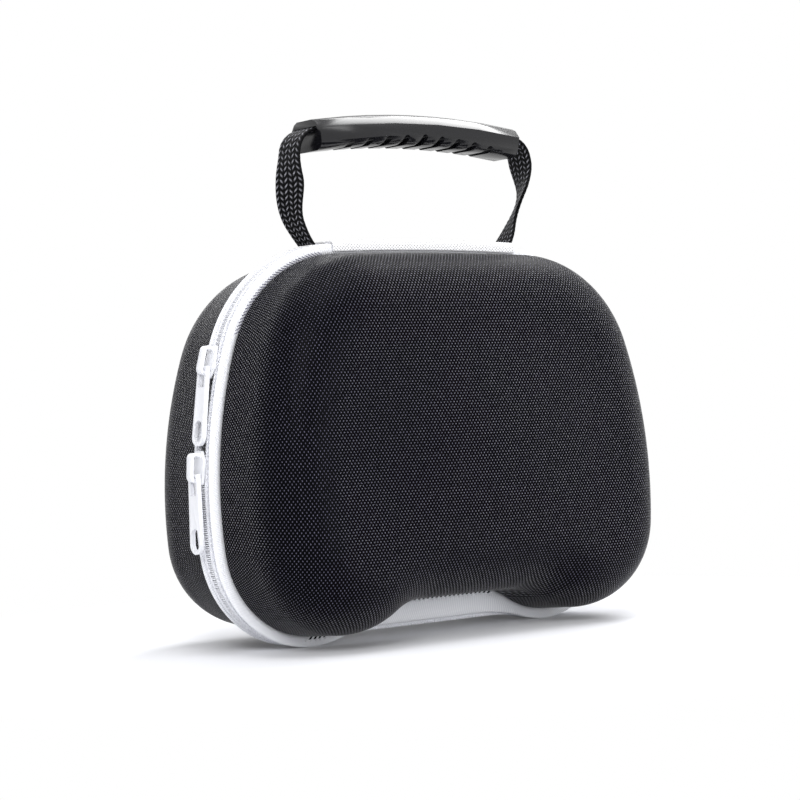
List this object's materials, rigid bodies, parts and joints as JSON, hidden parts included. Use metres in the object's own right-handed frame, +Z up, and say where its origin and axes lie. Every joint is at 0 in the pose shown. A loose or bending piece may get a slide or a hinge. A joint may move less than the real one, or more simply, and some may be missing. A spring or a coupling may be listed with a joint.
{
  "type": "game controller carrying case",
  "caption": "Hard-shell zipped carrying case for a game controller, with white seam bindings, a double-slider zipper and a webbing handle with a moulded grip.",
  "frame": {"origin": "middle of the case, between the two half shells, on the surface it stands on", "axes": "+Z up, -Y towards the lid's face, +X to the right as the lid's face is seen"},
  "size_m": [0.1798, 0.0897, 0.1769],
  "materials": {
    "shell_fabric": "black ballistic nylon moulded over foam",
    "white_binding": "white knitted binding over a soft core",
    "lining_tape": "dark grosgrain bias tape",
    "zipper_tape": "white woven zipper tape",
    "zipper_teeth": "white nylon",
    "white_enamel": "white enamel on die-cast zinc",
    "woven_strip": "light grey woven strip",
    "black_webbing": "black chevron-woven nylon webbing",
    "grip_plastic": "satin black moulded plastic",
    "pocket_net": "black mesh net",
    "elastic": "black woven elastic",
    "hook_and_loop": "black hook-and-loop tape"
  },
  "bodies": {
    "base": {"back_shell": "shell_fabric", "back_binding": "white_binding", "back_inner_tape": "lining_tape", "back_zipper_tape": "zipper_tape", "back_zipper_teeth": "zipper_teeth", "hinge_strip": "woven_strip", "handle_webbing": "black_webbing", "handle_grip": "grip_plastic", "left_strap": "elastic", "right_strap": "elastic", "strap_patch": "hook_and_loop"},
    "lid": {"front_shell": "shell_fabric", "front_binding": "white_binding", "front_inner_tape": "lining_tape", "front_zipper_tape": "zipper_tape", "front_zipper_teeth": "zipper_teeth", "pocket_net": "pocket_net", "pocket_hem": "elastic"},
    "upper_slider": {"upper_slider": "white_enamel"},
    "upper_pull": {"upper_pull": "white_enamel"},
    "lower_slider": {"lower_slider": "white_enamel"},
    "lower_pull": {"lower_pull": "white_enamel"}
  },
  "joints": [
    {"name": "lid_open", "type": "hinge", "parent": "base", "child": "lid", "pos_m": [0, 0, 0.1332], "axis": [-1, 0, 0], "range_deg": [0, 95], "deforming": ["hinge_strip"]},
    {"name": "upper_slide", "type": "hinge", "parent": "base", "child": "upper_slider", "pos_m": [-0.03442, 0, 0.08503], "axis": [0, 1, 0], "range_deg": [0, 48]},
    {"name": "lower_slide", "type": "hinge", "parent": "base", "child": "lower_slider", "pos_m": [0.069, 0, 0.0506], "axis": [0, 1, 0], "range_deg": [-8.3, 0.4]},
    {"name": "upper_pull_swing", "type": "hinge", "parent": "upper_slider", "child": "upper_pull", "pos_m": [-0.08473, 0, 0.09245], "axis": [0, 1, 0], "range_deg": [0, 140]},
    {"name": "lower_pull_swing", "type": "hinge", "parent": "lower_slider", "child": "lower_pull", "pos_m": [-0.09014, 0, 0.05819], "axis": [0, 1, 0], "range_deg": [-4.5, 140]}
  ]
}
